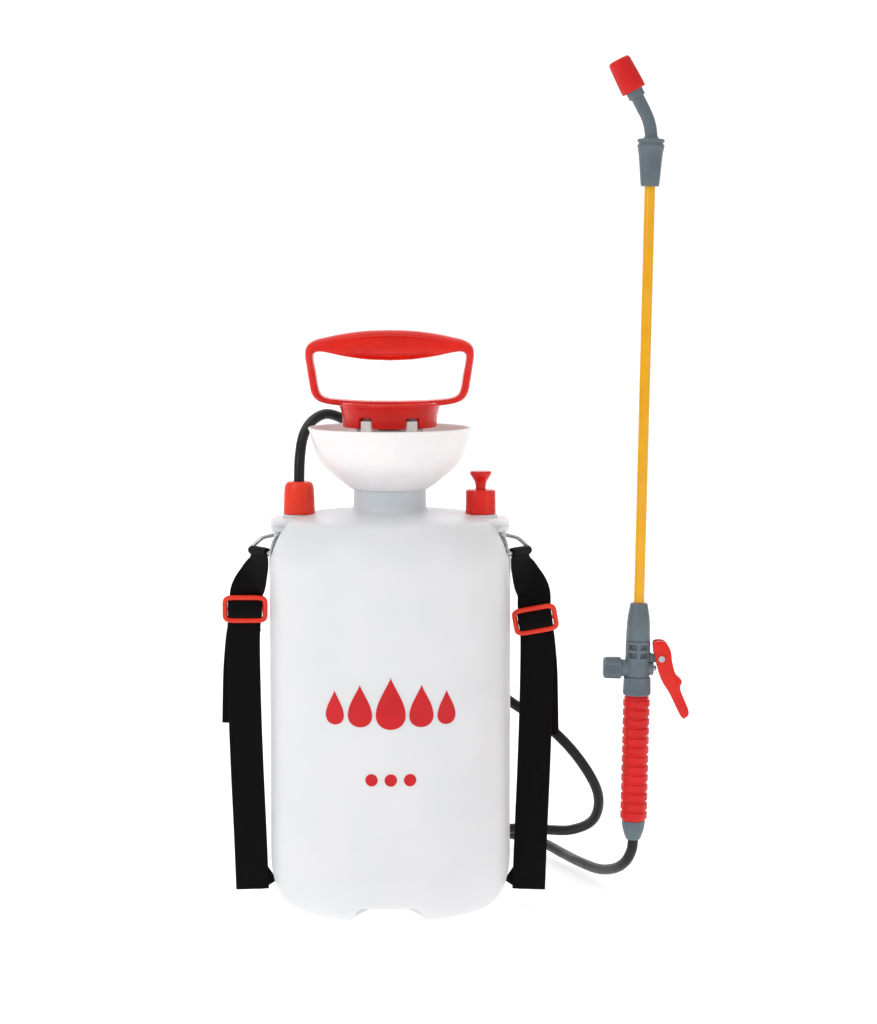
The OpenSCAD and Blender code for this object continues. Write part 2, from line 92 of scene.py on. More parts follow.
def skin(name, points, wrap_rows=False, wrap_cols=True, place=None, crease=32, uv=None):
    """A closed mesh object over a grid of points in mm, moved by the matrix place, with its faces
    outwards. uv, if given, is one (u, v) pair for each grid point."""
    points = np.asarray(points, float)
    rows, cols = points.shape[:2]
    mesh = bpy.data.meshes.new(name)
    faces = grid_faces(rows, cols, wrap_rows, wrap_cols)
    mesh.from_pydata((points.reshape(-1, 3) * MM).tolist(), [], faces.tolist())
    if uv is not None:
        layer = mesh.uv_layers.new(name="cloth")
        loops = np.zeros(len(mesh.loops), np.int32)
        mesh.loops.foreach_get("vertex_index", loops)
        layer.data.foreach_set("uv", np.asarray(uv, float).reshape(-1, 2)[loops].ravel())
    if place is not None:
        mesh.transform(place)
    finish_mesh(mesh, crease)
    made = bpy.data.objects.new(name, mesh)
    bpy.context.scene.collection.objects.link(made)
    return made


def join(name, parts):
    """One object from several, as when a moulding is built from simple bodies."""
    bm = bmesh.new()
    for part in parts:
        bm.from_mesh(part.data)
        bpy.data.objects.remove(part)
    mesh = bpy.data.meshes.new(name)
    bm.to_mesh(mesh)
    bm.free()
    mesh.shade_smooth()
    mesh.set_sharp_from_angle(angle=np.radians(32))
    made = bpy.data.objects.new(name, mesh)
    bpy.context.scene.collection.objects.link(made)
    return made


def soften(profile, cut, steps=4, closed=True):
    """Rounds each corner P to the curve (1-t)^2 A + 2 t (1-t) P + t^2 B, where A and B lie up to cut
    back along its two edges. cut is one length, or one for each corner."""
    p = np.asarray(profile, float)
    cut = np.broadcast_to(np.asarray(cut, float), len(p))[:, None]
    before, after = np.roll(p, 1, 0) - p, np.roll(p, -1, 0) - p
    la, lb = np.linalg.norm(before, axis=1)[:, None], np.linalg.norm(after, axis=1)[:, None]
    a = p + before * np.minimum(cut / la, 0.48)
    b = p + after * np.minimum(cut / lb, 0.48)
    t = np.linspace(0, 1, steps + 1)[None, :, None]
    curve = (1 - t) ** 2 * a[:, None] + 2 * t * (1 - t) * p[:, None] + t**2 * b[:, None]
    if closed:
        return curve.reshape(-1, 2)
    return np.vstack([p[:1], curve[1:-1].reshape(-1, 2), p[-1:]])


def lathe(name, profile, turns=96, shape=None, place=None, closed=True, crease=32):
    """Turns a profile of (radius, height) round Z. shape(radius, height, angle) may change the two."""
    p = np.asarray(profile, float)
    angle = np.linspace(0, 2 * np.pi, turns, endpoint=False)[None]
    r, z = p[:, :1] + 0 * angle, p[:, 1:] + 0 * angle
    if shape:
        r, z = shape(r, z, angle + 0 * r)
    points = np.stack([r * np.cos(angle), r * np.sin(angle), z], -1)
    return skin(name, points, wrap_rows=closed, place=place, crease=crease)


def smooth_path(points, steps, loop=False):
    """Catmull-Rom: between P1 and P2 the curve is
    (2 P1 + (P2-P0) t + (2P0-5P1+4P2-P3) t^2 + (3P1-P0-3P2+P3) t^3) / 2."""
    p = np.asarray(points, float)
    ends = (p[-1:], p[:2]) if loop else (p[:1], p[[-1, -1]])
    q = np.vstack([ends[0], p, ends[1]])
    count = len(p) if loop else len(p) - 1
    a, b, c, d = (q[k : k + count, None] for k in range(4))
    t = np.linspace(0, 1, steps, endpoint=False)[None, :, None]
    squares, cubes = 2 * a - 5 * b + 4 * c - d, 3 * b - a - 3 * c + d
    out = (2 * b + (c - a) * t + squares * t**2 + cubes * t**3) / 2
    out = out.reshape(-1, p.shape[1])
    return out if loop else np.vstack([out, p[-1:]])


def path_frames(path, start, loop=False):
    """Tangents T, and normals N carried along the path with the least twist."""
    if loop:
        t = unit(np.roll(path, -1, 0) - np.roll(path, 1, 0))
    else:
        t = unit(np.gradient(path, axis=0))
    n = np.empty_like(t)
    n[0] = start
    for k in range(len(t)):
        v = n[max(k - 1, 0)]
        n[k] = unit(v - (v @ t[k]) * t[k])
    return t, n


def tube(name, path, radius, sides=20, start=(0, 1, 0), place=None, loop=False):
    """A round tube: each point is P + radius (cos a N + sin a T x N). radius may be one for each point."""
    t, n = path_frames(path, start, loop)
    if loop:
        n = unit(path - path.mean(0))
        n = unit(n - (n * t).sum(1, keepdims=True) * t)
    radius = np.broadcast_to(np.asarray(radius, float), len(path))[:, None, None]
    a = np.linspace(0, 2 * np.pi, sides, endpoint=False)[None, :, None]
    points = path[:, None] + radius * (np.cos(a) * n[:, None] + np.sin(a) * np.cross(t, n)[:, None])
    return skin(name, points, wrap_rows=loop, place=place, crease=50)


def outline_normals(p):
    """Outward normals of a closed outline that runs anticlockwise."""
    t = unit(np.roll(p, -1, 0) - np.roll(p, 1, 0))
    return np.stack([t[:, 1], -t[:, 0]], -1)


def slab(name, outline, half, edge, place=None, steps=5, centre=0.0):
    """A plate with rounded edges standing in the XZ plane: the outline, drawn in by edge (1 - cos a)
    while its face lies at half - edge (1 - sin a) in front of and behind the middle."""
    p = np.asarray(outline, float)
    n = outline_normals(p)
    if np.sum(p[:, 0] * np.roll(p[:, 1], -1) - p[:, 1] * np.roll(p[:, 0], -1)) < 0:
        n = -n
    a = np.linspace(np.pi / 2, 0, steps)
    inset = np.concatenate([edge * (1 - np.cos(a)), edge * (1 - np.cos(a[::-1]))])
    y = np.concatenate([-(half - edge * (1 - np.sin(a))), half - edge * (1 - np.sin(a[::-1]))])
    flat = p[None] - n[None] * inset[:, None, None]
    points = np.stack([flat[..., 0], y[:, None] + centre + 0 * flat[..., 0], flat[..., 1]], -1)
    return skin(name, points, place=place, crease=40)


def turn_to(axis, origin):
    """The matrix that stands Z along axis, X towards the world's +X side, at origin in metres."""
    z = Vector(axis).normalized()
    y = z.cross(Vector((1, 0, 0))).normalized()
    x = y.cross(z)
    return Matrix.Translation(origin) @ Matrix((x, y, z)).transposed().to_4x4()


def settle(piece, body, material, *stands_for):
    """Gives a piece its finish and its body, and lets it stand for CAD nodes."""
    piece.data.materials.clear()
    piece.data.materials.append(material)
    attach(piece, body)
    if stands_for:
        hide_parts(*stands_for)
    return piece


# %% [markdown]
# ## Camera first
# A long lens on a portrait frame: 36 mm of sensor along the height sees 768 mm of the sprayer, from
# straight in front and a few degrees above.

# %% Camera
VIEW_HEIGHT = 0.768
LENS = 90
TILT = np.radians(5.5)
aim = Vector((0.0364, 0, 0.294))
distance = VIEW_HEIGHT * LENS / 36
camera_data = bpy.data.cameras.new("camera")
camera_data.lens = LENS
camera_data.sensor_width = 36
camera = bpy.data.objects.new("camera", camera_data)
camera.location = aim + distance * Vector((0, -np.cos(TILT), np.sin(TILT)))
camera.rotation_euler = (np.pi / 2 - TILT, 0, 0)
bpy.context.scene.collection.objects.link(camera)
bpy.context.scene.camera = camera
print("camera at", [round(c, 3) for c in camera.location])

# %% [markdown]
# ## Materials
# Most of the sprayer is moulded plastic. Moulding gives a faint orange-peel skin, a slow change of
# gloss where the mould was warmer, and a slightly deeper colour where the wall is thick. One builder
# makes these, and each plastic gets its own colour, gloss and grain.

# %% Helpers that make materials
def rgb(code, alpha=1.0):
    """An sRGB hex colour, such as 'D01A12', as linear red, green, blue and alpha."""
    c = np.array([int(code[k : k + 2], 16) for k in (0, 2, 4)]) / 255
    linear = np.where(c <= 0.04045, c / 12.92, ((c + 0.055) / 1.055) ** 2.4)
    return (*linear.tolist(), alpha)


def add(tree, kind, inputs=None, **settings):
    """Adds a node. inputs gives its sockets a value, or a link where the value is another socket."""
    made = tree.nodes.new("ShaderNode" + kind)
    for name, value in settings.items():
        setattr(made, name, value)
    for name, value in (inputs or {}).items():
        if isinstance(value, bpy.types.NodeSocket):
            tree.links.new(value, made.inputs[name])
        else:
            made.inputs[name].default_value = value
    return made


def blank(name):
    """A material with a Principled shader, and its tree."""
    material = bpy.data.materials.new(name)
    material.use_nodes = True
    tree = material.node_tree
    return material, tree, tree.nodes["Principled BSDF"]


def grain(tree, size_mm, detail=3.0, stretch=(1, 1, 1)):
    """Noise on Object coordinates whose spots are size_mm across."""
    where = add(tree, "TexCoord").outputs["Object"]
    scaled = add(tree, "Mapping", {"Vector": where, "Scale": stretch}).outputs["Vector"]
    noise = {"Vector": scaled, "Scale": 1000 / size_mm, "Detail": detail}
    return add(tree, "TexNoise", noise).outputs["Fac"]


def tint(tree, factor, dark, light):
    """A colour that runs from dark to light as factor runs over the middle of its range."""
    ramp = add(tree, "ValToRGB", {"Fac": factor})
    ramp.color_ramp.elements[0].position = 0.3
    ramp.color_ramp.elements[1].position = 0.7
    ramp.color_ramp.elements[0].color = dark
    ramp.color_ramp.elements[1].color = light
    return ramp.outputs["Color"]


def span(tree, factor, low, high):
    """factor's 0.3 to 0.7 spread over low to high."""
    inputs = {"Value": factor, "From Min": 0.3, "From Max": 0.7, "To Min": low, "To Max": high}
    return add(tree, "MapRange", inputs).outputs["Result"]


def moulded(name, light, dark, gloss=(0.28, 0.4), skin_mm=1.6, skin_depth=0.05, sss=0.0, coat=0.0):
    """Injection-moulded plastic: mottled colour, gloss that wanders, and an orange-peel skin."""
    material, tree, shader = blank(name)
    cloud = grain(tree, 22, 2)
    tree.links.new(tint(tree, cloud, rgb(dark), rgb(light)), shader.inputs["Base Color"])
    tree.links.new(span(tree, grain(tree, 9, 4), *gloss), shader.inputs["Roughness"])
    peel = add(tree, "Bump", {"Height": grain(tree, skin_mm, 2), "Strength": skin_depth, "Distance": 0.0004})
    tree.links.new(peel.outputs["Normal"], shader.inputs["Normal"])
    shader.inputs["IOR"].default_value = 1.49
    shader.inputs["Specular IOR Level"].default_value = 0.36
    shader.inputs["Coat Weight"].default_value = coat
    shader.inputs["Coat Roughness"].default_value = 0.12
    if sss:
        shader.inputs["Subsurface Weight"].default_value = sss
        shader.inputs["Subsurface Radius"].default_value = (1.0, 0.9, 0.8)
        shader.inputs["Subsurface Scale"].default_value = 0.004
    return material


# %% Plastics, rubber and metal
# ABS, polished mould: saturated red with a sharp window highlight.
abs_red = moulded("abs_red_glossy", "E8200E", "D3150A", (0.24, 0.36), 1.4, 0.05, 0.04, 0.06)
# Polypropylene with an orange cast, a little softer in gloss.
pp_orange_red = moulded("polypropylene_orange_red", "F03A1E", "E22C15", (0.26, 0.38), 1.3, 0.06, 0.04, 0.05)
# Nylon grip: a cooler red, satin from handling.
nylon_red = moulded("nylon_red_satin", "DC1410", "C80D0B", (0.3, 0.45), 1.0, 0.08, 0.03)
# Glass-filled nylon, blue-grey: fine speckle and a satin skin.
nylon_grey = moulded("glass_filled_nylon_grey", "68757D", "5A666E", (0.28, 0.44), 0.9, 0.12)
# Extruded acrylic-coated tube: bright yellow and glossy.
tube_yellow = moulded("extruded_tube_yellow", "F3B200", "EAA400", (0.16, 0.26), 2.5, 0.03, 0.05, 0.3)
# Warm white polypropylene for the funnel, a little see-through at its edges.
pp_warm_white = moulded("polypropylene_warm_white", "F9F5F5", "F3EEEF", (0.3, 0.42), 2.0, 0.04, 0.25)
# Clean white polypropylene for inner parts.
pp_white = moulded("polypropylene_white", "ECECE9", "E8E8E5", (0.34, 0.5), 1.8, 0.06, 0.1)
# Nitrile rubber, matt black.
nitrile = moulded("nitrile_rubber_black", "1B1B1C", "121213", (0.55, 0.7), 0.8, 0.15)


def drawn_metal(name, colour, gloss, size_mm):
    """Drawn or turned metal: fine streaks in the gloss and in the height."""
    material, tree, shader = blank(name)
    streak = grain(tree, size_mm, 3, (1, 1, 0.2))
    shader.inputs["Base Color"].default_value = rgb(colour)
    shader.inputs["Metallic"].default_value = 1.0
    tree.links.new(span(tree, streak, *gloss), shader.inputs["Roughness"])
    bump = add(tree, "Bump", {"Height": streak, "Strength": 0.08, "Distance": 0.0002})
    tree.links.new(bump.outputs["Normal"], shader.inputs["Normal"])
    return material


steel_wire = drawn_metal("zinc_plated_steel_wire", "B9BDC1", (0.2, 0.36), 0.8)
brass = drawn_metal("turned_brass", "D9B36A", (0.22, 0.36), 0.7)

# %% [markdown]
# Blow-moulded polyethylene is milky: light enters the wall and scatters before it comes out, so shading
# is soft. The lid and neck are thicker and look cooler, and they sit in shade under the funnel and the pump; a
# slow darker, cooler tint along the height gives both, so it is partly the wall's own tone and partly painted
# shade.

# %% Tank plastic
def milky_polyethylene(name):
    """A milky wall that scatters light, a darker, cooler tint from the lid upwards (partly the thicker wall,
    partly painted shade under the funnel and pump), faint waves and a fine skin.
    """
    material, tree, shader = blank(name)
    height = add(tree, "SeparateXYZ", {"Vector": add(tree, "TexCoord").outputs["Object"]}).outputs["Z"]
    # From the lid upwards the colour turns to a darker, cooler grey: partly the thicker wall's tone, partly
    # painted shade under the funnel and pump.
    up = {"Value": height, "From Min": 0.286, "From Max": 0.304, "To Min": 0.0, "To Max": 1.0}
    neck = add(tree, "MapRange", up, interpolation_type="SMOOTHSTEP").outputs["Result"]
    wall = tint(tree, grain(tree, 60, 2), rgb("E6E7E9"), rgb("EDEDEF"))
    # A Mix node's colour sockets are its inputs 6 and 7 and its output 2.
    mix = add(tree, "Mix", {"Factor": neck, 6: wall, 7: rgb("D3D9DF")}, data_type="RGBA")
    tree.links.new(mix.outputs[2], shader.inputs["Base Color"])
    tree.links.new(span(tree, grain(tree, 14, 4), 0.34, 0.48), shader.inputs["Roughness"])
    waves = add(tree, "Bump", {"Height": grain(tree, 35, 2), "Strength": 0.12, "Distance": 0.002})
    peel = {"Height": grain(tree, 1.4, 2), "Strength": 0.05, "Distance": 0.0003}
    peel = add(tree, "Bump", {**peel, "Normal": waves.outputs["Normal"]})
    tree.links.new(peel.outputs["Normal"], shader.inputs["Normal"])
    shader.inputs["IOR"].default_value = 1.51
    shader.inputs["Subsurface Weight"].default_value = 0.35
    shader.inputs["Subsurface Radius"].default_value = (1.0, 1.0, 1.0)
    shader.inputs["Subsurface Scale"].default_value = 0.008
    return material


tank_plastic = milky_polyethylene("blow_moulded_polyethylene_milky")

# %% [markdown]
# The hose is PVC with a smooth extruded skin: black, with a long soft highlight. The webbing is woven
# polypropylene, so its pattern follows the cloth: its map is in millimetres across and along.

# %% Hose and webbing
hose_pvc = moulded("extruded_pvc_black", "0E0F10", "080809", (0.28, 0.42), 3.0, 0.04)
# The real thread spacing is about 1.2 mm. It is drawn twice as coarse so that it shows.
THREAD_MM = 2.4


def webbing(name):
    """Two sets of waves on the cloth's map, multiplied: ribs along the webbing crossed by slanted threads."""
    material, tree, shader = blank(name)
    where = add(tree, "UVMap", uv_map="cloth").outputs["UV"]
    slant = add(tree, "Mapping", {"Vector": where, "Rotation": (0, 0, np.radians(35))}).outputs["Vector"]
    wave = {"Scale": 20 / (2 * np.pi) / THREAD_MM * 2, "Distortion": 0.6, "Detail": 2.0}
    waves = [
        add(tree, "TexWave", {"Vector": vector, **wave}, bands_direction=way).outputs["Fac"]
        for vector, way in ((where, "X"), (slant, "Y"))
    ]
    weave = add(tree, "Math", {0: waves[0], 1: waves[1]}, operation="MULTIPLY").outputs["Value"]
    # The colour follows the weave's height: the hollows between threads are painted darker, which is painted
    # shade.
    tree.links.new(tint(tree, weave, rgb("050405"), rgb("110F10")), shader.inputs["Base Color"])
    bump = add(tree, "Bump", {"Height": weave, "Strength": 0.7, "Distance": 0.0005})
    tree.links.new(bump.outputs["Normal"], shader.inputs["Normal"])
    shader.inputs["Roughness"].default_value = 0.62
    shader.inputs["Specular IOR Level"].default_value = 0.12
    shader.inputs["Sheen Weight"].default_value = 0.02
    shader.inputs["Sheen Roughness"].default_value = 0.4
    return material


woven = webbing("woven_polypropylene_black")
print("materials:", len(bpy.data.materials))

# %% [markdown]
# ## The hose
# One length of hose, 8 mm outside: out of the gland nut, over behind the funnel, down the tank's back,
# out to the right, round on the floor behind, and up into the wand. On the real sprayer its last stretch
# follows the wand when the wand is lifted; here the hose is one fixed shape that stays where it is drawn.

# %% Hose
HOSE_RADIUS = 4.0
HOSE_ROUTE = np.array([
    [-68, 0, 304], [-68, 0, 318], [-67.5, 3, 335], [-65.5, 15, 350], [-60, 30, 360], [-50, 44, 365],
    [-38, 56, 361], [-26, 67, 351], [-15, 77, 336], [-7, 87, 316], [0, 94, 292], [5, 98, 264],
    [11, 99, 235], [22, 99, 207], [40, 96, 180], [64, 89, 160], [91, 80, 138], [122, 74, 118],
    [146, 74, 93], [162, 80, 64], [160, 93, 40], [143, 111, 27], [118, 126, 24], [90, 136, 22],
    [58, 138, 14], [26, 134, 6], [-6, 134, 4], [-32, 146, 4], [-45, 168, 4], [-40, 194, 4],
    [-18, 212, 4], [12, 217, 4], [42, 214, 4], [70, 203, 5], [96, 184, 7], [120, 156, 7],
    [138, 120, 5], [150, 86, 6], [162, 52, 9], [172, 25, 16], [179, 9, 25], [183, 2, 35],
    [184, 0, 43], [184.1, 0, 49.4],
])
hose_line = smooth_path(HOSE_ROUTE, 8)
hose = tube("hose_skin", hose_line, HOSE_RADIUS, 24)
hose.data.materials.append(hose_pvc)
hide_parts("hose")
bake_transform(hose)

# %% [markdown]
# ## The tank
# A blow-moulded tank is one thin skin. Its outline is turned round the axis, and the same turning
# function then presses in what isn't round: an arch between the feet at the front and back, and at
# each side a pocket under a small shelf, where a wire link hangs on a post.

# %% Tank
TANK_R, BASE_R, WALL = 90.5, 76.0, 3.0
CORNER_H, LID_H, NECK_R, NECK_TOP = 35.0, 290.0, 27.0, 312.0
POCKET_LOW, POCKET_HIGH, POCKET_IN, POCKET_HALF = 264.0, 281.0, 77.0, 21.5
ARCH_HALF, ARCH_TOP, ARCH_START = 30.0, 12.0, 36.0
SHELF_R, PORT_X, POST_X = 89.3, 68.0, 84.5


def tank_outline(inset):
    """Base, rounded corner (a quarter ellipse), straight side, shoulder and gently domed lid."""
    a = np.radians(np.linspace(-90, 0, 22))
    corner_r = BASE_R + (TANK_R - BASE_R - inset) * np.cos(a)
    corner = np.stack([corner_r, CORNER_H + (CORNER_H - inset) * np.sin(a)], 1)
    side = np.stack([np.full(14, TANK_R - inset), np.linspace(48, 256, 14)], 1)
    z = np.concatenate([np.linspace(259, 281, 20), np.linspace(281.4, LID_H - 1, 8)])
    drop = 13 * np.clip((z - 258) / 31, 0, 1) ** 2.1
    shoulder = np.stack([TANK_R - drop - inset, z], 1)
    r = np.array([73, 66, 58, 50, 42, 35])
    lid = np.stack([r, LID_H + 5 * (1 - ((r - 27) / 51) ** 2) - inset], 1)
    keep = shoulder[:, 1] < LID_H - inset - 0.5
    return np.vstack([[[BASE_R * 0.5, inset]], corner, side, shoulder[keep], lid])


def press(r, z, a):
    """Pushes up the arches between the feet and presses in the two side pockets."""
    x, y = r * np.cos(a), r * np.sin(a)
    arch = np.clip((ARCH_HALF - abs(x)) / 11, 0, 1) * np.clip((abs(y) - ARCH_START) / 8, 0, 1)
    arch = ARCH_TOP * arch**2 * (3 - 2 * arch)
    z = np.where((z < 16) & (z < arch), arch + 0.02 * z, z)
    beside = np.clip((POCKET_HALF + 1.5 - abs(y)) / 1.5, 0, 1)
    tall = np.clip((z - POCKET_LOW) / 1.5, 0, 1) * (z < POCKET_HIGH + 0.2)
    deep = beside * tall * (r > 60)
    r = r + deep * np.minimum(POCKET_IN / np.maximum(abs(np.cos(a)), 0.5) - r, 0)
    shelf = np.clip(POCKET_HALF - abs(y), 0, 1) * (z > POCKET_HIGH + 0.2) * (z < LID_H - 0.4) * (r > 74)
    return r + shelf * (SHELF_R - r), z


neck_outline = [
    [35, 294.6], [NECK_R + 0.2, 295.2], [NECK_R, NECK_TOP], [26, NECK_TOP], [26, 318], [23.1, 318],
    [23.1, 296],
]
neck = soften(neck_outline, [0, 5, 1, 0.5, 0.5, 0.5, 3], closed=False)
inside = tank_outline(WALL)[::-1]
wall_outline = np.vstack([[[0.01, 0]], tank_outline(0), neck[1:], inside[inside[:, 0] > 24], [[0.01, WALL]]])
shell = lathe("tank_skin", wall_outline, 288, press, crease=28)
left_port = Matrix.Translation((-PORT_X * MM, 0, 0))
right_port = Matrix.Translation((PORT_X * MM, 0, 0))
sides = (-1, 1)


def pad(s, port, bore, top):
    """The stepped pad that a port's nut screws onto."""
    steps = [[3.2, 286], [12.6, 286], [12.5, 292.5], [9.7, 292.7], [9.7, top], [bore, top]]
    return lathe(f"pad{s}", soften(steps, 0.6), 64, place=port)


# The left pad, for the hose, is the taller one and has the wider bore.
pads = [pad(-1, left_port, 6, 298.9), pad(1, right_port, 3.2, 294.9)]
post_outline = soften([[0.01, 263], [2.8, 263], [2.8, 282], [0.01, 282]], [0, 0.5, 0.5, 0])
posts = [
    lathe(f"post{s}", post_outline, 24, place=Matrix.Translation((s * POST_X * MM, 0, 0)))
    for s in sides
]
settle(join("tank_skin_whole", [shell, *pads, *posts]), "tank", tank_plastic, "tank")

# %% [markdown]
# ## The funnel
# A thin bowl round the neck, so that liquid can be poured in without spilling. Its rim has a rolled bead.

# %% Funnel
bowl = [[28.8, 312], [34.0, 315.6], [40.5, 321], [49.5, 328.6], [54.5, 336.4], [58.5, 348.2], [60.7, 357]]
bowl = smooth_path(bowl, 6)
over_rim = np.linspace(-0.3, 3.4, 9)
rim = np.array([60.2, 356.9]) + 0.95 * np.stack([np.cos(over_rim), np.sin(over_rim)], 1)
bowl_inside = (bowl + np.array([-1.9, 0.9]))[::-1][1:-4]
bowl_outline = np.vstack([bowl[:-1], rim, bowl_inside, [[26.05, 314.3], [26.05, 312.02]]])
settle(lathe("funnel_bowl", bowl_outline, 144, crease=50), "tank", pp_warm_white, "funnel")

# %% [markdown]
# ## The pump handle
# One red moulding: a D-shaped grip on a round skirt. The grip is a closed loop of rounded sections.
# For each direction round the opening's middle, the outer and inner outlines give a section's two
# ends, and its depth is a superellipse, so the loop has soft edges and no seams.

# %% Handle
HANDLE_MIDDLE = np.array([0.0, 396.0])


def reach(outline, angle):
    """How far a closed outline lies from the handle's middle in each direction."""
    d = outline - HANDLE_MIDDLE
    a = np.arctan2(d[:, 1], d[:, 0])
    order = np.argsort(a)
    return np.interp(angle, a[order], np.hypot(d[:, 0], d[:, 1])[order], period=2 * np.pi)


def mirror_outline(half):
    """The right half of an outline, from its bottom to its top, followed by its mirror image."""
    half = np.asarray(half, float)
    return np.vstack([half, half[::-1] * [-1, 1]])


outer_half = [
    [0, 373.4], [20, 373.4], [36, 373.9], [48, 375.6], [55, 378.6], [58.6, 384], [60.2, 392], [61.9, 403],
    [63, 412], [61.6, 418.6], [56, 422.8], [46, 425.4], [34, 427.8], [18, 429.8], [0, 430.4],
]
inner_half = [
    [0, 377.6], [20, 377.9], [36, 378.8], [46, 380.0], [51, 382.6], [53.2, 388], [54.8, 398], [56.6, 408],
    [56.2, 412.6], [52, 414.2], [44, 412.9], [32, 410.3], [16, 408.1], [0, 407.5],
]
angle = np.linspace(-np.pi, np.pi, 360, endpoint=False)
direction = np.stack([np.cos(angle), np.sin(angle)], 1)
outer_edge, inner_edge = (
    HANDLE_MIDDLE + direction * reach(smooth_path(mirror_outline(half), 10, True), angle)[:, None]
    for half in (outer_half, inner_half)
)
middle, half_width = (outer_edge + inner_edge) / 2, (outer_edge - inner_edge) / 2
turn = np.linspace(0, 2 * np.pi, 40, endpoint=False)


def rounded(c, power):
    """cos or sin raised to a power below 1 with its sign kept: a superellipse's coordinate."""
    return np.sign(c) * abs(c) ** power


# The bar that the hand holds, above 400 mm, is a little deeper than the sides.
depth = 9.2 + 1.8 * np.clip((middle[:, 1] - 400) / 14, 0, 1)
sx, sy = rounded(np.cos(turn), 0.62), rounded(np.sin(turn), 0.62)
flat_loop = middle[:, None] + half_width[:, None] * sx[None, :, None]
loop = np.stack([flat_loop[..., 0], depth[:, None] * sy, flat_loop[..., 1]], -1)
ring = skin("handle_loop", loop, wrap_rows=True, crease=60)
NOTCHES = np.radians([60, 120, 240, 300])
NOTCH_TOP = 366.2


def notched(r, z, a):
    """Lifts the skirt's lower edge over four notches, and lets its rim fall away behind the grip."""
    gap = abs((a[..., None] - NOTCHES + np.pi) % (2 * np.pi) - np.pi).min(-1) * 36
    lift = np.clip((6.2 - gap) / 0.7, 0, 1) * (r > 28)
    fall = 0.2 * np.clip(r * np.sin(a) - 8, 0, None) * np.clip((z - 372.2) / 2, 0, 1) * (r > 30)
    return r, np.where(z < NOTCH_TOP, z + (NOTCH_TOP - z) * lift, z - fall)


skirt_outline = [
    [0.01, 362.2], [8.9, 362.2], [8.9, 371.2], [32.2, 371.2], [32.2, 366.3], [32.2, 358.1], [35.0, 358.1],
    [35.6, 366.3], [36.6, 371.5], [38.2, 375.4], [36.4, 376.9], [33.5, 373.4], [0.01, 373.2],
]
skirt_outline = soften(skirt_outline, [0, 0.4, 2, 0.3, 0.1, 0.5, 0.8, 0.2, 3, 1, 1, 1, 0])
skirt = lathe("handle_skirt", skirt_outline, 360, notched, crease=35)


def ridge_line(s):
    """An ellipse 84 mm wide and 14.4 mm high, just proud of the grip's front (s = -1) or back (s = 1)."""
    a = np.linspace(0, 2 * np.pi, 120, endpoint=False)
    return np.stack([42 * np.cos(a), s * (10.75 - 0.55 * np.cos(a) ** 2), 418.8 + 7.2 * np.sin(a)], 1)


ridges = [tube(f"ridge{s}", ridge_line(s), 0.75, 10, loop=True) for s in sides]
settle(join("handle_red", [ring, skirt, *ridges]), "plunger", abs_red, "pump_handle")

# %% [markdown]
# ## The pump's collar
# White lugs on the collar sit in the skirt's notches when the pump is pushed down, so that turning the
# handle screws the pump in or out.

# %% Collar
def fluted(r, z, a):
    """Thirty-six shallow flutes round the collar's barrel: the radius gains 0.35 cos 36a."""
    return np.where((z > 326) & (z < 355) & (r > 24), r + 0.35 * np.cos(36 * a), r), z


collar_outline = [
    [21.2, 298], [22.9, 298], [22.9, 320.1], [27.4, 320.1], [27.4, 324], [25, 325.5], [25, 356.8],
    [9.05, 356.8], [9.05, 345], [21.2, 345],
]
collar = lathe("collar_body", soften(collar_outline, 0.5), 96, fluted)
lug_outline = soften([[-4.6, 349], [4.6, 349], [4.6, 363.8], [-4.6, 363.8]], 0.9)
lugs = [
    slab(f"lug{k}", lug_outline, 7.0, 0.8, Matrix.Rotation(np.radians(t), 4, "Z"), centre=27.3)
    for k, t in enumerate((-30, 30, 150, 210))
]
settle(join("collar_white", [collar, *lugs]), "pump", pp_white, "pump_collar")

# %% [markdown]
# ## Nuts and the relief valve
# Both ports have a nut that fingers turn: eight flats with rounded corners. A flat at angle a from its
# middle lies at R / cos(a), so the radius is the round one or the flat's, whichever is less.

# %% Gland nut and relief valve
def flats(count, across, low, high, start=20.0):
    """A shape for lathe: count flats, across from side to side, between two heights, soft at corners."""
    def shape(r, z, a):
        within = (a + np.radians(start)) % (2 * np.pi / count) - np.pi / count
        flat = across / 2 / np.cos(within)
        fade = np.clip(np.minimum(z - low, high - z) / 1.2, 0, 1)
        cut = -np.logaddexp(-r * 3, -flat * 3) / 3 + 0.12
        return np.where((r > across * 0.36) & (fade > 0), r + fade * (np.minimum(cut, r) - r), r), z
    return shape


gland_outline = [
    [9.75, 292.85], [11.9, 292.85], [12, 296], [11.2, 311], [10.6, 314.6], [8.6, 317.2], [4.3, 317.2],
    [4.3, 304.6], [9.75, 304.6],
]
gland_outline = soften(gland_outline, [0.3, 0.6, 1, 2, 2, 1.5, 0.8, 0.5, 0.5])
gland = lathe("gland_nut_red", gland_outline, 128, flats(8, 23.3, 294, 315), left_port, crease=26)
settle(gland, "tank", pp_orange_red, "gland_nut")
valve_cap_outline = [
    [9.75, 292.85], [11.3, 292.85], [11.5, 294.5], [11.3, 309.8], [10.3, 311], [3.85, 311], [3.85, 306],
    [9.75, 306],
]
valve_cap_outline = soften(valve_cap_outline, [0.3, 0.5, 0.8, 0.8, 0.8, 0.4, 0.4, 0.4])
cap_flats = flats(8, 22.4, 294.5, 310.4)
valve_cap = lathe("relief_cap_red", valve_cap_outline, 128, cap_flats, right_port, crease=26)
settle(valve_cap, "tank", abs_red, "relief_cap")
knob_outline = [
    [0.01, 298], [3.75, 298], [3.75, 313.5], [4.4, 317.2], [7.7, 322], [8.15, 323.2], [7.7, 324.9],
    [0.01, 324.5],
]
knob_outline = soften(knob_outline, [0, 0.3, 3, 3, 1, 0.7, 0.7, 0])
